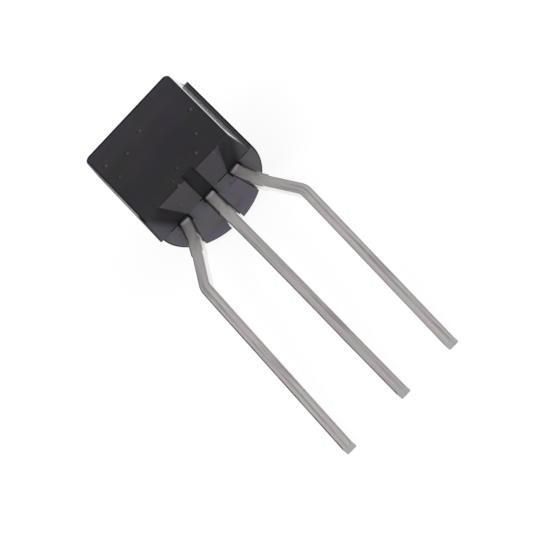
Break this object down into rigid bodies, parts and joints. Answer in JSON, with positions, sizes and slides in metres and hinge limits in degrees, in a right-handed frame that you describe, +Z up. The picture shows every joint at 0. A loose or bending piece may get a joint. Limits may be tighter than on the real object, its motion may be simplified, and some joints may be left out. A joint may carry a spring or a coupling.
{
  "type": "thyristor",
  "caption": "Small plastic-case thyristor with a half-round black moulded case and flat tinned leads formed to a wider pitch.",
  "frame": {"origin": "middle of the bounding box's bottom: on the surface that the part lies on, under the middle of its length and width", "axes": "+Z up from the surface; +Y along the part from the lead tips towards the top of the case; +X across the lead row, from the cathode lead to the anode lead"},
  "size_m": [0.0054, 0.0172, 0.0041],
  "materials": {
    "moulding_compound": "matte",
    "tinned_copper": "satin",
    "silicon": "polished",
    "solder": "satin",
    "bond_wire": "polished"
  },
  "bodies": {
    "root": {"moulded_case": "moulding_compound", "anode_lead": "tinned_copper", "gate_lead": "tinned_copper", "cathode_lead": "tinned_copper", "thyristor_die": "silicon", "die_solder": "solder", "gate_wire": "bond_wire", "cathode_wire": "bond_wire"}
  },
  "joints": []
}
